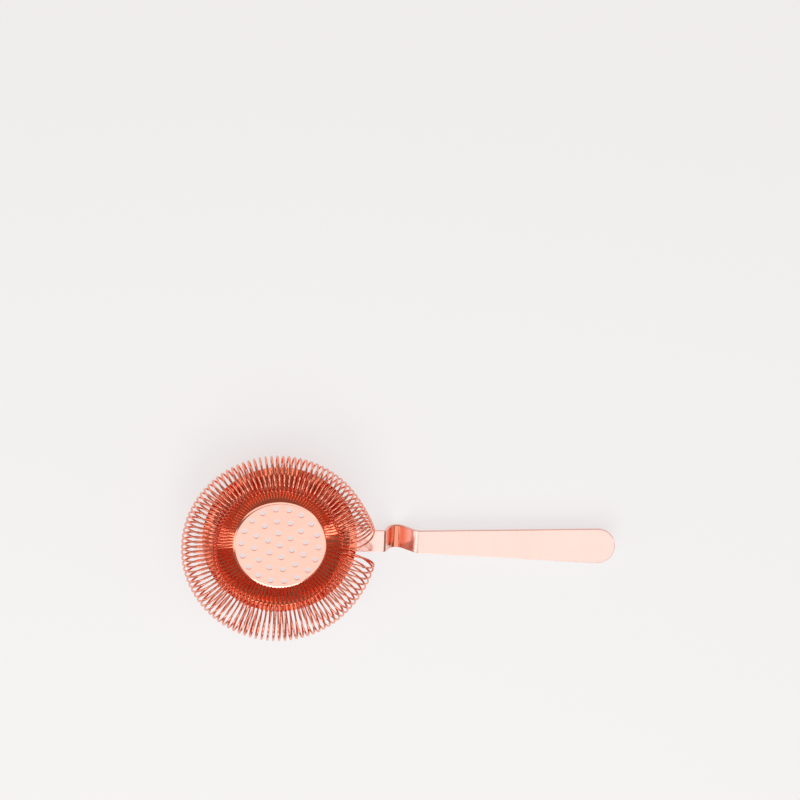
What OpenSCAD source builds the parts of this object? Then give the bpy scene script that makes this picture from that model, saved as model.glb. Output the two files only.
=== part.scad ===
// Hawthorne strainer: a pierced dish and a handle strip that are welded together, and a
// coiled wire spring that closes on itself round the dish and grips the mouth of a tin.
// It lies with its spring upwards. The mouth of the tin is the plane z = 0 and the
// centre of that mouth is the origin. +X runs along the handle.

/* [Dish] */
// Outer diameter of the flat rim
rim_d = 77; // [70:0.5:95]
// Width of the flat rim, up to the foot of the sloping wall
rim_w = 3.5; // [3:0.1:6]
// Diameter of the flat floor, up to the top of the sloping wall
floor_d = 45; // [40:0.5:56]
// Height of the floor over the rim
dish_depth = 7; // [5:0.1:9]
// Thickness of the dish's sheet
dish_t = 1.2; // [0.8:0.1:1.6]
// Inside radius of the bend at the floor
floor_bend_r = 2.6; // [1:0.1:4]
// Inside radius of the bend at the rim
rim_bend_r = 1.2; // [0.6:0.1:1.4]

/* [Drain holes] */
// Diameter of a drain hole
hole_d = 3; // [2:0.1:4]
// Distance from one ring of holes to the next
ring_step = 6.4; // [5:0.1:7]
// Number of rings round the centre hole
ring_count = 3; // [1:1:3]
// Angle of the first hole of each ring, from the handle
hole_turn = 38; // [0:0.1:60]

/* [Handle] */
// Thickness of the handle's strip
strip_t = 1.6; // [1.2:0.1:2.2]
// Length of the strip that is welded under the rim
lap = 3; // [2:0.1:3]
// Width of the neck, from the rim to the finger rest
neck_w = 11.5; // [9:0.1:14]
// Length of the neck, from the rim to the foot of the finger rest
neck_l = 14.4; // [12:0.1:18]
// Depth of the finger rest's corner, before it is rounded
rest_depth = 10; // [7:0.1:12]
// Slope of the finger rest on the side of the neck
rest_near_angle = 65; // [50:1:70]
// Slope of the finger rest on the side of the blade
rest_far_angle = 43; // [38:1:50]
// Inside radius at the finger rest's crest
rest_crest_r = 3.8; // [2.5:0.1:4.2]
// Inside radius of the bend from the neck into the finger rest
rest_near_r = 0.9; // [0.5:0.1:1.5]
// Inside radius of the bend from the finger rest into the blade
rest_far_r = 4.4; // [2:0.1:5]
// Length of the blade, from the finger rest to the tip
blade_l = 99.9; // [70:0.1:130]
// Width of the blade next to the finger rest
blade_root_w = 11.9; // [9:0.1:16]
// Width of the blade at its round end
blade_tip_w = 18.4; // [14:0.1:24]

/* [Spring] */
// Diameter of the wire
wire_d = 0.8; // [0.6:0.02:1]
// Outer diameter of one turn of the coil
turn_d = 18; // [15:0.1:22]
// Distance of the ring's centre line outside the rim's edge
ring_over = 0.5; // [0:0.1:2]
// Distance from one turn to the next along the ring's centre line
pitch = 2.38; // [2.1:0.01:3.2]
// Height of the coil over the rim
coil_lift = 1.2; // [1:0.1:3]
// Least angle of the wire's first end, from the handle
least_angle = 3; // [0:0.5:12]
// Distance from the neck's edge to the middle of the wire's last end
hook_side = 1.3; // [1:0.1:4]
// Length of the wire's ends that stands out under the dish
tail_out = 0.6; // [0:0.1:1.5]
// Clearance round each of the wire's ends in its hole
tail_gap = 0.2; // [0.1:0.05:0.4]

/* [Hidden] */
rose_gold = [0.93, 0.62, 0.53];
copper = [0.80, 0.38, 0.28];
bend_step = 7.5;
rim_r = rim_d / 2;
foot_r = rim_r - rim_w;
floor_r = floor_d / 2;
floor_z = dish_t + dish_depth;
cut = 1;

rest_x = rim_r + neck_l;
crest_x = rest_x + rest_depth / tan(rest_near_angle);
blade_x = crest_x + rest_depth / tan(rest_far_angle);
blade_end = blade_x + blade_l;
tip_r = blade_tip_w / 2;
tip_x = blade_end - tip_r;

ring_r = rim_r + ring_over;
turn_r = (turn_d - wire_d) / 2;
ring_z = dish_t + coil_lift + turn_d / 2;
wire_side = wire_d * sqrt(PI) / 2;
joint = wire_d / 10;
wall_slope = dish_depth / (foot_r - floor_r);
tail_hole_r = wire_d / 2 + tail_gap;

tail_r = ring_r - turn_r;
tail_foot_z = dish_t + (foot_r - tail_r) * wall_slope - dish_t * sqrt(1 + wall_slope ^ 2) - tail_out;
turn_angle = 360 * pitch / (2 * PI * ring_r);

function unit(v) = v / norm(v);
function turn_sign(u, v) = sign(u[0] * v[1] - u[1] * v[0]);
function polar(r, a) = [r * cos(a), r * sin(a)];
function outer_point(a) = polar(ring_r + turn_r, a);
function inner_point(a) = polar(ring_r - turn_r, a);
function reversed(list) = [for (i = [len(list) - 1:-1:0]) list[i]];

// The last half turn starts from an outer point at last_angle. From its lowest point the
// wire runs inwards and turns down into the rim, as far from the handle as hook_side says.
hook_reach = ring_r - (foot_r + rim_r) / 2;
hook_bend_r = coil_lift;
last_span = inner_point(turn_angle / 2) - outer_point(0);
hook_point = (outer_point(0) + inner_point(turn_angle / 2)) / 2 + hook_reach * unit(last_span);
last_angle = 360 - asin((neck_w / 2 + hook_side) / norm(hook_point)) - atan2(hook_point[1], hook_point[0]);
turns = floor((last_angle - least_angle) / turn_angle - 0.5) + 0.5;
first_angle = last_angle - turns * turn_angle;

// One side of a bend from line p-q to line q-r in a sheet that lies to the right of the
// path: depth is 0 on the path itself and t on the sheet's other face
function bend(p, q, r, inside_r, t, depth) =
    let (u = unit(q - p), v = unit(r - q), way = turn_sign(u, v), angle = acos(u * v),
         path_r = inside_r + (way < 0 ? t : 0),
         centre = q - u * path_r * tan(angle / 2) + way * path_r * [-u[1], u[0]],
         side_r = path_r + way * depth,
         start = atan2(-way * u[0], way * u[1]),
         steps = ceil(angle / bend_step))
    [for (i = [0:steps]) centre + polar(side_r, start + way * angle * i / steps)];

function shifted(p, q, depth) = let (u = unit(q - p)) depth * [u[1], -u[0]];

// One face of a bent sheet
function sheet_face(path, inside_r, t, depth) =
    let (last = len(path) - 1)
    [path[0] + shifted(path[0], path[1], depth),
     for (i = [1:last - 1]) each bend(path[i - 1], path[i], path[i + 1], inside_r[i - 1], t, depth),
     path[last] + shifted(path[last - 1], path[last], depth)];

// Section of a bent sheet of thickness t, whose upper face follows the path
module sheet_section(path, inside_r, t) {
    polygon(concat(sheet_face(path, inside_r, t, 0), reversed(sheet_face(path, inside_r, t, t))));
}

module drain_holes() {
    for (ring = [0:ring_count])
        for (i = [0:max(6 * ring, 1) - 1])
            rotate([0, 0, hole_turn + 60 * i / max(ring, 1)])
                translate([ring * ring_step, 0, floor_z - dish_t - cut])
                    cylinder(d = hole_d, h = dish_t + 2 * cut, $fn = 32);
}

// Upright holes for the wire's ends, through the wall and through the rim
module tail_holes() {
    for (end = [[first_angle, [tail_r, 0]], [last_angle, hook_point]])
        rotate([0, 0, end[0]])
            translate([end[1][0], end[1][1], -cut])
                cylinder(r = tail_hole_r, h = ring_z, $fn = 24);
}

// Pressed dish with a flat rim, a sloping wall and a pierced floor
module dish() {
    color(rose_gold)
        difference() {
            rotate_extrude($fn = 180)
                sheet_section(
                    [[0, floor_z], [floor_r, floor_z], [foot_r, dish_t], [rim_r, dish_t]],
                    [floor_bend_r, rim_bend_r],
                    dish_t
                );
            drain_holes();
            tail_holes();
        }
}

// Plan of the strip: neck, finger rest and a blade that widens to a round end
module strip_plan() {
    lean = asin((tip_r - blade_root_w / 2) / (tip_x - blade_x));
    polygon([
        [0, -neck_w / 2],
        [rest_x, -neck_w / 2],
        [blade_x, -blade_root_w / 2],
        [tip_x - tip_r * sin(lean), -tip_r * cos(lean)],
        [tip_x - tip_r * sin(lean), tip_r * cos(lean)],
        [blade_x, blade_root_w / 2],
        [rest_x, neck_w / 2],
        [0, neck_w / 2]
    ]);
    translate([tip_x, 0])
        circle(r = tip_r, $fn = 96);
}

// Handle strip, bent down into a finger rest between the neck and the blade
module handle() {
    color(rose_gold)
        difference() {
            intersection() {
                rotate([90, 0, 0])
                    linear_extrude(height = blade_tip_w + 2 * cut, center = true)
                        sheet_section(
                            [[0, 0], [rest_x, 0], [crest_x, -rest_depth], [blade_x, 0], [blade_end + cut, 0]],
                            [rest_near_r, rest_crest_r, rest_far_r],
                            strip_t
                        );
                translate([0, 0, -rest_depth - 2 * strip_t])
                    linear_extrude(height = rest_depth + 2 * strip_t + cut)
                        strip_plan();
            }
            translate([0, 0, -strip_t - cut])
                cylinder(r = rim_r - lap, h = strip_t + 2 * cut, $fn = 180);
        }
}

// Half a turn of the wire, in the upright plane through two points of the ring's mid plane
module half_turn(p, q, above) {
    span = q - p;
    middle = (p + q) / 2;
    translate([middle[0], middle[1], ring_z])
        rotate([above ? 90 : -90, 0, atan2(span[1], span[0])])
            rotate_extrude(angle = 180, $fn = 72)
                translate([norm(span) / 2, 0])
                    square(wire_side, center = true);
}

// The wire's first end, straight down from the inside of the first turn through the wall
module first_tail() {
    rotate([0, 0, first_angle])
        translate([tail_r, 0, tail_foot_z])
            cylinder(d = wire_d, h = ring_z + joint - tail_foot_z, $fn = 24);
}

// The wire's last end: a quarter turn inwards under the ring, then down through the rim
module last_hook() {
    span_r = norm(last_span) / 2;
    middle = (outer_point(last_angle) + inner_point(last_angle + turn_angle / 2)) / 2;
    translate([middle[0], middle[1], ring_z])
        rotate([0, 0, last_angle + atan2(last_span[1], last_span[0])]) {
            rotate([-90, 0, 0])
                rotate_extrude(angle = 90, start = 90, $fn = 72)
                    translate([span_r, 0])
                        square(wire_side, center = true);
            translate([0, 0, -span_r])
                rotate([0, 90, 0])
                    linear_extrude(height = hook_reach - hook_bend_r)
                        square(wire_side, center = true);
            translate([hook_reach - hook_bend_r, 0, -span_r - hook_bend_r])
                rotate([90, 0, 0])
                    rotate_extrude(angle = 90, $fn = 72)
                        translate([hook_bend_r, 0])
                            square(wire_side, center = true);
            translate([hook_reach, 0, -ring_z - tail_out])
                cylinder(d = wire_d, h = ring_z + tail_out - span_r - hook_bend_r + joint, $fn = 24);
        }
}

// Coil spring: one wire wound into a coil whose axis is a ring round the dish
module spring() {
    color(copper) {
        for (k = [0:turns - 0.5]) {
            middle_angle = first_angle + (k + 0.5) * turn_angle;
            half_turn(outer_point(middle_angle), inner_point(middle_angle - turn_angle / 2), true);
            if (k < turns - 0.5)
                half_turn(outer_point(middle_angle), inner_point(middle_angle + turn_angle / 2), false);
        }
        first_tail();
        last_hook();
    }
}

dish();
handle();
spring();
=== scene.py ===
import math

import bmesh
import bpy
from mathutils import Matrix, Vector


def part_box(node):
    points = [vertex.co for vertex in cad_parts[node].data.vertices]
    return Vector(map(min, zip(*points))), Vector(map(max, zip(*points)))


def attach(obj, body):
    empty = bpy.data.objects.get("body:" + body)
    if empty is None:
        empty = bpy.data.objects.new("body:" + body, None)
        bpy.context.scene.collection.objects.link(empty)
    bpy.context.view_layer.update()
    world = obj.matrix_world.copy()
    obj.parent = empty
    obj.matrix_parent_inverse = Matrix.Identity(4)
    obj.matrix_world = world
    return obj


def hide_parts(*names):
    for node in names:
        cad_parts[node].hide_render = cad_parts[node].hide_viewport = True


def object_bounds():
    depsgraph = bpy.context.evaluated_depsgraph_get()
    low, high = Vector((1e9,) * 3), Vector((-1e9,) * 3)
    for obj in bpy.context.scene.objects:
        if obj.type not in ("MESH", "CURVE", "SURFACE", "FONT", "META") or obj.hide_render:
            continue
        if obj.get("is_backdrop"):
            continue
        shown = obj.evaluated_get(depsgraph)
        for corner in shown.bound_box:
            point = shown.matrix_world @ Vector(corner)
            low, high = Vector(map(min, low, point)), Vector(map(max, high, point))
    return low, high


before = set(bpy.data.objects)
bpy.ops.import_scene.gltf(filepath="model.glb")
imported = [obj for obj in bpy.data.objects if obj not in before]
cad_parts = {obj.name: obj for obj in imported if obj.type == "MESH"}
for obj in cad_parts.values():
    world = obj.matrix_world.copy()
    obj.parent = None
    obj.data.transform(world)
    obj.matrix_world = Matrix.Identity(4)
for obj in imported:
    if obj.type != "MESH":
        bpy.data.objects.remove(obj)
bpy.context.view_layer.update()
millimetre = 0.001  # pieces are modelled in millimetres and brought to metres at the end
print("stage: frame loaded")


# Camera

cameraView = {
    "place": (-34.2, 557.1, 1390.1),  # millimetres
    "aim": (56.8, 75.0, -0.2),
    "upHint": (-0.044, 1.0, 0.0),
    "lens": 135.0,
}


def makeCamera(view):
    place = Vector(view["place"]) * millimetre
    back = (place - Vector(view["aim"]) * millimetre).normalized()
    right = Vector(view["upHint"]).cross(back).normalized()
    turn = Matrix((right, back.cross(right), back)).transposed().to_4x4()
    bpy.ops.object.camera_add()
    camera = bpy.context.object
    camera.name = "productCamera"
    camera.matrix_world = Matrix.Translation(place) @ turn
    camera.data.lens = view["lens"]
    camera.data.clip_end = 20
    bpy.context.scene.camera = camera


# Modelling helpers

def startPiece(name):
    piece = bpy.context.object  # the primitive that was just added
    piece.name = name
    piece.data.name = name
    return piece


def selectOnly(*pieces):
    bpy.ops.object.select_all(action="DESELECT")
    for piece in pieces:
        piece.select_set(True)
    bpy.context.view_layer.objects.active = pieces[0]


def pick(piece, kind, test):
    # selects the vertices, edges or faces whose corners all pass the test
    bpy.ops.mesh.select_mode(type=kind)
    bpy.ops.mesh.select_all(action="DESELECT")
    mesh = bmesh.from_edit_mesh(piece.data)
    for part in {"VERT": mesh.verts, "EDGE": mesh.edges, "FACE": mesh.faces}[kind]:
        corners = [part] if kind == "VERT" else part.verts
        if all(test(corner.co) for corner in corners):
            part.select_set(True)
    mesh.select_flush_mode()
    bmesh.update_edit_mesh(piece.data)


def near(value, target, slack=0.02):
    return abs(value - target) < slack


cutterMargin = 2.0  # how far a cutter stands out of what it cuts


def addModifier(piece, kind, **settings):
    modifier = piece.modifiers.new(kind.title(), kind)
    for name, value in settings.items():
        setattr(modifier, name, value)
    selectOnly(piece)
    bpy.ops.object.modifier_apply(modifier=modifier.name)


def cutAway(piece, cutter):
    addModifier(piece, "BOOLEAN", operation="DIFFERENCE", solver="EXACT", object=cutter)
    bpy.data.objects.remove(cutter)


def finishPiece(piece, material, node, body, smoothAngle=30):
    selectOnly(piece)
    piece.scale = [millimetre] * 3
    bpy.ops.object.transform_apply(location=True, rotation=True, scale=True)
    bpy.ops.object.shade_smooth_by_angle(angle=math.radians(smoothAngle))
    addModifier(piece, "WEIGHTED_NORMAL", keep_sharp=True, weight=80)
    piece.data.materials.clear()
    piece.data.materials.append(material)
    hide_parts(node)
    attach(piece, body)
    print("stage:", piece.name, len(piece.data.polygons), "faces")


# Material helpers

def addNode(tree, kind, **inputs):
    node = tree.nodes.new(kind)
    for name, value in inputs.items():
        node.inputs[name.replace("_", " ")].default_value = value
    return node


def addMath(tree, kind, operation, *sources):
    # each source is an output to link or a number to set
    node = addNode(tree, kind)
    node.operation = operation
    for socket, source in zip(node.inputs, sources):
        if isinstance(source, float):
            socket.default_value = source
        else:
            tree.links.new(source, socket)
    return node


def mixColours(tree, factor, first, second):
    # each colour is an output to link or three numbers to set
    mix = addNode(tree, "ShaderNodeMix")
    mix.data_type = "RGBA"
    tree.links.new(factor, mix.inputs["Factor"])
    for socket, colour in ((mix.inputs["A"], first), (mix.inputs["B"], second)):
        if isinstance(colour, tuple):
            socket.default_value = (*colour, 1)
        else:
            tree.links.new(colour, socket)
    return mix.outputs["Result"]


def makeGroup(name, numbers, outputs):
    # numbers and a vector go in, numbers come out
    group = bpy.data.node_groups.new(name, "ShaderNodeTree")
    for number in numbers:
        group.interface.new_socket(number, in_out="INPUT", socket_type="NodeSocketFloat")
    group.interface.new_socket("Vector", in_out="INPUT", socket_type="NodeSocketVector")
    for output in outputs:
        group.interface.new_socket(output, in_out="OUTPUT", socket_type="NodeSocketFloat")
    return group, group.nodes.new("NodeGroupInput"), group.nodes.new("NodeGroupOutput")


def addGroup(tree, group, vector, **numbers):
    node = addNode(tree, "ShaderNodeGroup")
    node.node_tree = group
    for name, number in numbers.items():
        node.inputs[name].default_value = number
    tree.links.new(vector, node.inputs["Vector"])
    return node


def makeGrainGroup(trueRadius=0.03):
    # long fine scratches along X, or round the dish's axis where Around is 1
    group, given, result = makeGroup("brushedGrain", ["Fineness", "Stretch", "Around"], ["Height"])
    link = group.links.new
    parts = addNode(group, "ShaderNodeSeparateXYZ")
    flat = addNode(group, "ShaderNodeCombineXYZ", Z=0.0)
    link(given.outputs["Vector"], parts.inputs["Vector"])
    link(parts.outputs["X"], flat.inputs["X"])
    link(parts.outputs["Y"], flat.inputs["Y"])
    length = addMath(group, "ShaderNodeVectorMath", "LENGTH", flat.outputs["Vector"])
    angle = addMath(group, "ShaderNodeMath", "ARCTAN2", parts.outputs["Y"], parts.outputs["X"])
    arc = addMath(group, "ShaderNodeMath", "MULTIPLY", angle.outputs["Value"], trueRadius)
    ringPoint = addNode(group, "ShaderNodeCombineXYZ")
    link(arc.outputs["Value"], ringPoint.inputs["X"])
    link(length.outputs["Value"], ringPoint.inputs["Y"])
    link(parts.outputs["Z"], ringPoint.inputs["Z"])
    way = addNode(group, "ShaderNodeMix")
    way.data_type = "VECTOR"
    link(given.outputs["Around"], way.inputs["Factor"])
    link(given.outputs["Vector"], way.inputs["A"])
    link(ringPoint.outputs["Vector"], way.inputs["B"])
    squeeze = addNode(group, "ShaderNodeCombineXYZ", Y=1.0, Z=1.0)
    link(given.outputs["Stretch"], squeeze.inputs["X"])
    stretched = addMath(
        group, "ShaderNodeVectorMath", "MULTIPLY", way.outputs["Result"], squeeze.outputs["Vector"])
    scratches = addNode(group, "ShaderNodeTexNoise", Detail=4.0, Roughness=0.65)
    link(stretched.outputs["Vector"], scratches.inputs["Vector"])
    link(given.outputs["Fineness"], scratches.inputs["Scale"])
    link(scratches.outputs["Fac"], result.inputs["Height"])
    return group


def makeHandlingGroup(cloudRange=(0.35, 0.7)):
    # soft cloudy marks that handling and wiping leave on a polished surface
    group, given, result = makeGroup("handlingMarks", ["Size", "Low", "High"], ["Roughness", "Mask"])
    link = group.links.new
    clouds = addNode(group, "ShaderNodeTexNoise", Detail=5.0, Roughness=0.6, Distortion=0.4)
    spread = addNode(group, "ShaderNodeMapRange", From_Min=cloudRange[0], From_Max=cloudRange[1])
    link(given.outputs["Vector"], clouds.inputs["Vector"])
    link(given.outputs["Size"], clouds.inputs["Scale"])
    link(clouds.outputs["Fac"], spread.inputs["Value"])
    link(given.outputs["Low"], spread.inputs["To Min"])
    link(given.outputs["High"], spread.inputs["To Max"])
    link(spread.outputs["Result"], result.inputs["Roughness"])
    link(clouds.outputs["Fac"], result.inputs["Mask"])
    return group


def makePaintedReflectionGroup():
    # mask for the painted reflection: 1 up to the height Low, 0 above High
    group, given, result = makeGroup("paintedReflection", ["Low", "High"], ["Mask"])
    link = group.links.new
    parts = addNode(group, "ShaderNodeSeparateXYZ")
    fade = addNode(group, "ShaderNodeMapRange", To_Min=1.0, To_Max=0.0)
    fade.interpolation_type = "SMOOTHSTEP"
    link(given.outputs["Vector"], parts.inputs["Vector"])
    link(parts.outputs["Z"], fade.inputs["Value"])
    link(given.outputs["Low"], fade.inputs["From Min"])
    link(given.outputs["High"], fade.inputs["From Max"])
    link(fade.outputs["Result"], result.inputs["Mask"])
    return group


grainGroup = makeGrainGroup()
handlingGroup = makeHandlingGroup()
paintedReflectionGroup = makePaintedReflectionGroup()


def makeMetal(name, look):
    # polished plating: two close tones, and a painted reflection: redder low down, painted in for the metal
    # around it that it mirrors
    material = bpy.data.materials.new(name)
    material.use_nodes = True
    tree = material.node_tree
    link = tree.links.new
    shader = tree.nodes["Principled BSDF"]
    shader.inputs["Metallic"].default_value = 1.0
    point = addNode(tree, "ShaderNodeTexCoord").outputs["Object"]
    smooth, dull = look["roughness"]
    low, high = look["paintedReflectionHeights"]
    marks = addGroup(tree, handlingGroup, point, Size=look["markSize"], Low=smooth, High=dull)
    paintedReflection = addGroup(tree, paintedReflectionGroup, point, Low=low, High=high)
    grain = addGroup(
        tree, grainGroup, point, Fineness=look["grainFineness"], Stretch=look["grainStretch"],
        Around=look["grainAround"])
    upper = mixColours(tree, marks.outputs["Mask"], look["tone"], look["deepTone"])
    # painted reflection: the deeper red tone is mixed in low down by height
    colour = mixColours(tree, paintedReflection.outputs["Mask"], upper, look["paintedReflectionTone"])
    bump = addNode(tree, "ShaderNodeBump", Strength=look["grainStrength"], Distance=look["grainDepth"])
    link(colour, shader.inputs["Base Color"])
    link(marks.outputs["Roughness"], shader.inputs["Roughness"])
    link(grain.outputs["Height"], bump.inputs["Height"])
    link(bump.outputs["Normal"], shader.inputs["Normal"])
    return material


# Dish

dishShape = {
    "floorRadius": 22.5,
    "footRadius": 35.0,
    "sheet": 1.2,
    "floorBend": 3.8,  # radii of the upper surface
    "rimBend": 1.2,
    "edgeRound": 0.16,
    "roundSteps": 192,
    "holeRadius": 1.5,
    "holeStep": 6.4,
    "holeRings": 3,
    "holeTurn": 38.0,
    "wireHoles": ((30.4, 3.93), (36.75, 349.05)),  # radius and angle of the wire's two holes
    "wireHoleRadius": 0.6,
    "bendSteps": 10,
    "holeSides": (40, 24),  # drain holes and wire holes
}
dishLook = {
    "tone": (0.955, 0.575, 0.485),
    "deepTone": (0.93, 0.50, 0.405),
    # painted reflection: the dish is painted a deeper red below the height of its floor, for the coil its wall
    # mirrors
    "paintedReflectionTone": (0.86, 0.25, 0.14),
    "paintedReflectionHeights": (0.0077, 0.00818),  # metres, all of it up to the first, none above the second
    "roughness": (0.05, 0.11),  # clean and marked
    "markSize": 70.0,
    "grainAround": 1.0,
    "grainFineness": 1400.0,
    "grainStretch": 0.02,
    "grainStrength": 0.12,
    "grainDepth": 0.00001,
}


def addUprightCutters(places, radius, low, high, sides):
    # one cylinder, copied to every place and joined into one cutter
    bpy.ops.object.select_all(action="DESELECT")
    bpy.ops.mesh.primitive_cylinder_add(vertices=sides, radius=radius, depth=high - low)
    first = bpy.context.object
    copies = [first]
    for place in places[1:]:
        copy = first.copy()
        copy.data = first.data.copy()
        bpy.context.scene.collection.objects.link(copy)
        copies.append(copy)
    for copy, place in zip(copies, places):
        copy.location = (place[0], place[1], (low + high) / 2)
    selectOnly(*copies)
    bpy.ops.object.join()
    bpy.ops.object.transform_apply(location=True, rotation=True, scale=True)
    return bpy.context.object


def ringPlace(radius, degrees):
    angle = math.radians(degrees)
    return radius * math.cos(angle), radius * math.sin(angle)


def makeDishShell(shape):
    low, high = [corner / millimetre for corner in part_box("dish")]
    rimTop = low.z + shape["sheet"]
    wallTurn = math.atan2(high.z - rimTop, shape["footRadius"] - shape["floorRadius"])
    tangent = math.tan(wallTurn / 2)
    bpy.ops.object.select_all(action="DESELECT")
    bpy.ops.mesh.primitive_circle_add(
        vertices=shape["roundSteps"], radius=high.x, fill_type="NGON", location=(0, 0, rimTop))
    dish = startPiece("dishShell")
    bpy.ops.object.transform_apply(location=True, rotation=True, scale=True)
    bpy.ops.object.mode_set(mode="EDIT")
    bpy.ops.mesh.select_all(action="SELECT")
    bpy.ops.mesh.inset(thickness=high.x - shape["footRadius"])
    bpy.ops.mesh.extrude_region_move(TRANSFORM_OT_translate={"value": (0, 0, high.z - rimTop)})
    pick(dish, "FACE", lambda co: near(co.z, high.z))
    share = shape["floorRadius"] / shape["footRadius"]
    bpy.ops.transform.resize(value=(share, share, 1), center_override=(0, 0, high.z))
    for radius, height, bend in (
        (shape["footRadius"], rimTop, shape["rimBend"]),
        (shape["floorRadius"], high.z, shape["floorBend"]),
    ):
        pick(dish, "EDGE", lambda co: near(co.z, height) and near(co.xy.length, radius, 0.05))
        bpy.ops.mesh.bevel(offset=bend * tangent, segments=shape["bendSteps"], affect="EDGES")
    bpy.ops.object.mode_set(mode="OBJECT")
    addModifier(dish, "SOLIDIFY", thickness=shape["sheet"], offset=-1, use_even_offset=True)
    holes = [(0.0, 0.0)]
    for ring in range(1, shape["holeRings"] + 1):
        for step in range(6 * ring):
            holes.append(ringPlace(ring * shape["holeStep"], shape["holeTurn"] + 60 * step / ring))
    drainSides, wireSides = shape["holeSides"]
    cutAway(dish, addUprightCutters(
        holes, shape["holeRadius"], rimTop, high.z + cutterMargin, drainSides))
    wireHoles = [ringPlace(*place) for place in shape["wireHoles"]]
    cutAway(dish, addUprightCutters(
        wireHoles, shape["wireHoleRadius"], low.z - cutterMargin, high.z, wireSides))
    addModifier(dish, "BEVEL", width=shape["edgeRound"], segments=3, limit_method="ANGLE",
                angle_limit=math.radians(50), use_clamp_overlap=True)
    finishPiece(dish, makeMetal("dishRoseGold", dishLook), "dish", "strainer")
    return dish


# Handle

handleShape = {
    "sheet": 1.6,
    "lapRadius": 35.5,
    "lapSpare": 6.0,  # extra length that the lap's arc cuts off
    "lapSides": 192,
    "restStart": 52.9,  # distances along the handle
    "restCrest": 57.57,
    "bladeStart": 68.29,
    "restDepth": 10.0,
    "neckWidth": 11.5,
    "bladeRoot": 11.9,
    "bladeEndWidth": 19.06,
    "tipRound": 9.45,
    "nearBend": 2.5,  # radii of the upper surface
    "crestBend": 3.8,
    "farBend": 6.0,
    "bendSteps": (10, 24, 16),
    "tipSteps": 28,
    "edgeRound": 0.35,
}
handleLook = {
    "tone": (0.95, 0.66, 0.61),
    "deepTone": (0.94, 0.62, 0.555),
    # painted reflection: the finger rest's dip is painted a deeper red, for what its polished metal mirrors
    "paintedReflectionTone": (0.80, 0.27, 0.16),
    "paintedReflectionHeights": (-0.009, -0.0003),
    "roughness": (0.13, 0.21),
    "markSize": 45.0,
    "grainAround": 0.0,
    "grainFineness": 1500.0,
    "grainStretch": 0.03,
    "grainStrength": 0.3,
    "grainDepth": 0.00003,
}


def makeHandleStrip(shape):
    _, high = [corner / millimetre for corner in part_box("handle")]
    start = shape["lapRadius"] - shape["lapSpare"]
    rows = (
        (shape["restStart"], 0.0, shape["neckWidth"]),
        (shape["restCrest"], -shape["restDepth"], (shape["neckWidth"] + shape["bladeRoot"]) / 2),
        (shape["bladeStart"], 0.0, shape["bladeRoot"]),
        (high.x, 0.0, shape["bladeEndWidth"]),
    )
    bpy.ops.object.select_all(action="DESELECT")
    bpy.ops.mesh.primitive_plane_add(size=1, location=((start + rows[0][0]) / 2, 0, 0))
    strip = startPiece("handleStrip")
    strip.scale = (rows[0][0] - start, shape["neckWidth"], 1)
    bpy.ops.object.transform_apply(location=True, rotation=True, scale=True)
    bpy.ops.object.mode_set(mode="EDIT")
    for before, after in zip(rows, rows[1:]):
        pick(strip, "EDGE", lambda co: near(co.x, before[0]) and near(co.z, before[1]))
        move = (after[0] - before[0], 0, after[1] - before[1])
        bpy.ops.mesh.extrude_region_move(TRANSFORM_OT_translate={"value": move})
        bpy.ops.transform.resize(
            value=(1, after[2] / before[2], 1), center_override=(after[0], 0, after[1]))
    restTurns = (
        math.atan2(shape["restDepth"], shape["restCrest"] - shape["restStart"]),
        math.atan2(shape["restDepth"], shape["bladeStart"] - shape["restCrest"]),
    )
    bends = (
        (rows[0], shape["nearBend"], restTurns[0]),
        (rows[1], shape["crestBend"], sum(restTurns)),
        (rows[2], shape["farBend"], restTurns[1]),
    )
    for (row, radius, turn), steps in zip(bends, shape["bendSteps"]):
        pick(strip, "EDGE", lambda co: near(co.x, row[0]) and near(co.z, row[1]))
        bpy.ops.mesh.bevel(offset=radius * math.tan(turn / 2), segments=steps, affect="EDGES")
    pick(strip, "VERT", lambda co: near(co.x, high.x))
    bpy.ops.mesh.bevel(offset=shape["tipRound"], segments=shape["tipSteps"], affect="VERTICES")
    bpy.ops.object.mode_set(mode="OBJECT")
    addModifier(strip, "SOLIDIFY", thickness=shape["sheet"], offset=-1, use_even_offset=True)
    cutAway(strip, addUprightCutters(
        [(0, 0)], shape["lapRadius"], -shape["sheet"] - cutterMargin, cutterMargin, shape["lapSides"]))
    addModifier(strip, "BEVEL", width=shape["edgeRound"], segments=4, limit_method="ANGLE",
                angle_limit=math.radians(50), use_clamp_overlap=True)
    finishPiece(strip, makeMetal("handleRoseGold", handleLook), "handle", "strainer")
    return strip


# Coil spring

coilShape = {
    "wireRadius": 0.45,
    "wireSides": 12,
    "turnRadius": 8.6,
    "ringRadius": 39.0,
    "ringHeight": 11.4,
    "pitch": 2.38,
    "turns": 98.75,
    "turnSteps": 36,
    "firstAngle": 3.93,
    "firstFoot": 0.9,  # height of the first end under the dish's wall
    "hookReach": 2.25,
    "hookBend": 1.2,
    "hookFoot": -0.6,
    "hookSteps": 8,
    "ringShift": (-1.1, -0.7),  # the loose ring hangs a little off centre
    "ringGrowth": 0.35,
    "ringOval": 0.5,
    "fanTurns": 9,
    "firstFan": (0.0, 5.8),  # how far the first turns' inner and outer side lean from the neck
    "lastFan": (5.4, 2.6),  # how far the last turns' inner and outer side lean over the neck
}
coilLook = {
    "tone": (0.95, 0.45, 0.33),
    "deepTone": (0.93, 0.35, 0.24),
    # painted reflection: the coil's lower turns are painted a deeper red, for the metal they mirror
    "paintedReflectionTone": (0.94, 0.38, 0.26),
    "paintedReflectionHeights": (0.0, 0.012),
    "roughness": (0.07, 0.13),
    "markSize": 220.0,
    "grainAround": 1.0,
    "grainFineness": 2500.0,
    "grainStretch": 0.3,
    "grainStrength": 0.15,
    "grainDepth": 0.00001,
}


def pullWire(move):
    bpy.ops.mesh.extrude_edges_move(TRANSFORM_OT_translate={"value": move})


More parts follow.
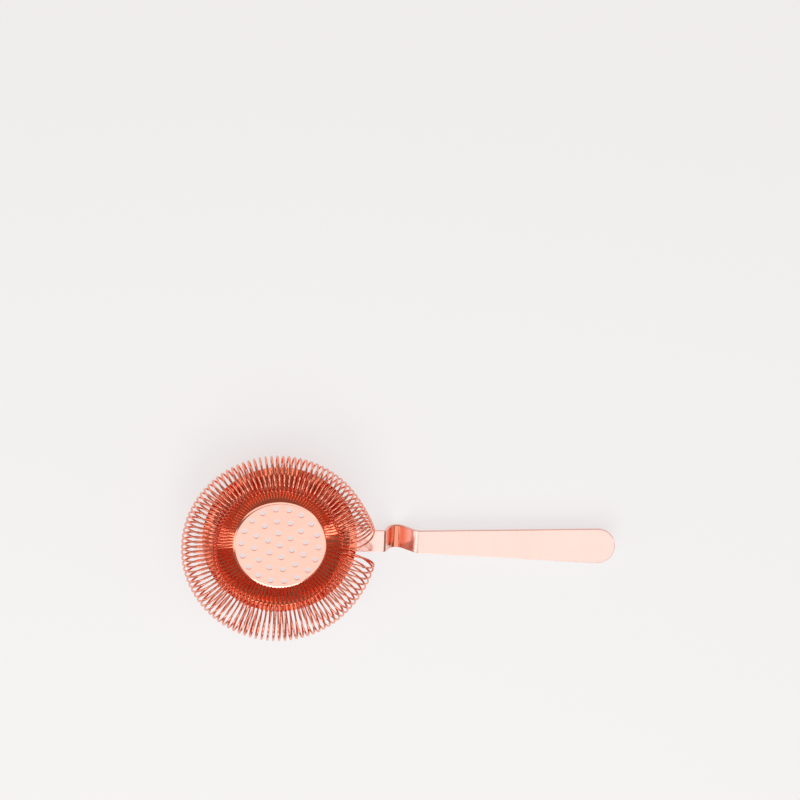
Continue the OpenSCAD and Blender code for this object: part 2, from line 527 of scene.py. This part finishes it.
def makeCoilWire(shape):
    # wound straight along X first, then bent into the ring
    length = shape["pitch"] * shape["turns"]
    bpy.ops.object.select_all(action="DESELECT")
    bpy.ops.mesh.primitive_circle_add(
        vertices=shape["wireSides"], radius=shape["wireRadius"], location=(0, shape["turnRadius"], 0))
    coil = startPiece("coilWire")
    bpy.ops.object.transform_apply(location=True, rotation=True, scale=True)
    steps = round(shape["turns"] * shape["turnSteps"])
    addModifier(coil, "SCREW", axis="X", angle=math.tau * shape["turns"], screw_offset=length,
                steps=steps, render_steps=steps, use_smooth_shade=True)
    leanTurns(coil, shape, length)
    bpy.ops.object.mode_set(mode="EDIT")
    wire = shape["wireRadius"] * 1.1  # a little more than the wire, to catch the whole end
    turn = shape["turnRadius"]
    pick(coil, "EDGE", lambda co: near(co.z, 0, 0.05) and near(co.y, turn, wire) and near(co.x, 0, wire))
    pullWire((0, 0, shape["firstFoot"] - shape["ringHeight"]))
    pick(coil, "EDGE", lambda co: near(co.y, 0, 0.05) and near(co.z, -turn, wire) and near(co.x, length, wire))
    hookStart = shape["hookReach"] - shape["hookBend"]
    pullWire((0, hookStart, 0))
    bpy.ops.mesh.spin(
        steps=shape["hookSteps"], angle=math.radians(90), axis=(1, 0, 0),
        center=(length, hookStart, -turn - shape["hookBend"]))
    pullWire((0, 0, shape["hookFoot"] - shape["ringHeight"] + turn + shape["hookBend"]))
    bpy.ops.mesh.select_mode(type="EDGE")
    bpy.ops.mesh.select_all(action="SELECT")
    bpy.ops.mesh.remove_doubles(threshold=0.001)
    bpy.ops.mesh.fill_holes(sides=shape["wireSides"])
    bpy.ops.mesh.normals_make_consistent(inside=False)
    bpy.ops.object.mode_set(mode="OBJECT")
    bendIntoRing(coil, shape)
    finishPiece(coil, makeMetal("coilCopper", coilLook), "spring", "coil", 60)
    return coil


def leanTurns(coil, shape, length):
    # shifts whole wire sections: the ring grows off centre and the turns next to the neck fan out
    reach = shape["fanTurns"] * shape["pitch"]
    for vertex in coil.data.vertices:
        turn = (vertex.index // shape["wireSides"]) / shape["turnSteps"]
        side = math.cos(math.tau * turn)  # 1 inside the ring, -1 outside it
        along = turn * shape["pitch"]
        angle = math.radians(shape["firstAngle"]) + along / shape["ringRadius"]
        loose = min(1.0, along / reach, max(0.0, length - along) / reach)
        outwards = (shape["ringGrowth"] - shape["ringOval"] * math.cos(2 * angle)
                    + shape["ringShift"][0] * math.cos(angle) + shape["ringShift"][1] * math.sin(angle))
        vertex.co.y -= outwards * loose ** 2 * (3 - 2 * loose)
        for away, fan in ((along, shape["firstFan"]), (length - along, shape["lastFan"])):
            if 0 < away < reach:
                settle = min(1.0, away / (0.5 * shape["pitch"]))  # the wire's very end stays in place
                lean = (fan[0] * (1 + side) + fan[1] * (1 - side)) / 2
                vertex.co.x += lean * settle * (1 - away / reach) ** 2


def bendIntoRing(coil, shape):
    along = [vertex.co.x for vertex in coil.data.vertices]
    addModifier(coil, "SIMPLE_DEFORM", deform_method="BEND", deform_axis="Z",
                angle=(max(along) - min(along)) / shape["ringRadius"])
    coil.location = (0, -shape["ringRadius"], 0)
    bpy.ops.object.transform_apply(location=True, rotation=True, scale=True)
    coil.location = (0, 0, shape["ringHeight"])
    coil.rotation_euler = (0, 0, math.radians(90 + shape["firstAngle"]))
    bpy.ops.object.transform_apply(location=True, rotation=True, scale=True)


# Floor and light

studio = {
    "floorSize": 4.0,
    "floorTone": (0.29, 0.30, 0.31),
    "floorRoughness": 0.7,
    "floorGlow": 0.66,
    "surroundTone": (1.0, 0.70, 0.62),
    "surroundStrength": 0.30,
    "softboxes": {  # place, size and radiance of each
        "key": ((0.14, -0.40, 0.95), (1.2, 0.7), 1.0),
        "front": ((0.0, -0.80, 0.60), (0.5, 0.3), 3.5),
        "back": ((0.0, 0.16, 1.0), (1.4, 0.3), 1.2),
        "left": ((-0.80, -0.30, 0.40), (0.3, 0.4), 1.8),
        "right": ((0.85, -0.10, 0.45), (0.2, 0.4), 2.0),
        "leftHigh": ((-0.62, -0.33, 0.72), (0.3, 0.4), 1.4),
    },
}


def addSoftbox(name, place, size, radiance):
    bpy.ops.object.light_add(type="AREA", location=place)
    lamp = bpy.context.object
    lamp.name = name
    lamp.data.shape = "RECTANGLE"
    lamp.data.size, lamp.data.size_y = size
    lamp.data.energy = radiance * math.pi * size[0] * size[1]
    lamp.visible_camera = False
    lamp.rotation_euler = Vector(place).to_track_quat("Z", "Y").to_euler()


def makeFloor(lowest):
    bpy.ops.mesh.primitive_plane_add(size=studio["floorSize"], location=(0, 0, lowest))
    floor = startPiece("paleFloor")
    material = bpy.data.materials.new("paleFloor")
    material.use_nodes = True
    shader = material.node_tree.nodes["Principled BSDF"]
    shader.inputs["Base Color"].default_value = (*studio["floorTone"], 1)
    shader.inputs["Roughness"].default_value = studio["floorRoughness"]
    shader.inputs["Emission Color"].default_value = (1, 1, 1, 1)
    shader.inputs["Emission Strength"].default_value = studio["floorGlow"]
    floor.data.materials.append(material)
    floor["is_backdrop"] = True


def makeStudio(lowest):
    makeFloor(lowest)
    for name, softbox in studio["softboxes"].items():
        addSoftbox(name + "Softbox", *softbox)
    world = bpy.data.worlds.new("studioWorld")
    world.use_nodes = True
    around = world.node_tree.nodes["Background"]
    around.inputs["Color"].default_value = (*studio["surroundTone"], 1)
    around.inputs["Strength"].default_value = studio["surroundStrength"]
    bpy.context.scene.world = world
    bpy.context.scene.view_settings.view_transform = "Standard"
    print("stage: studio")


makeCamera(cameraView)
makeDishShell(dishShape)
makeHandleStrip(handleShape)
makeCoilWire(coilShape)
makeStudio(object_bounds()[0][2])
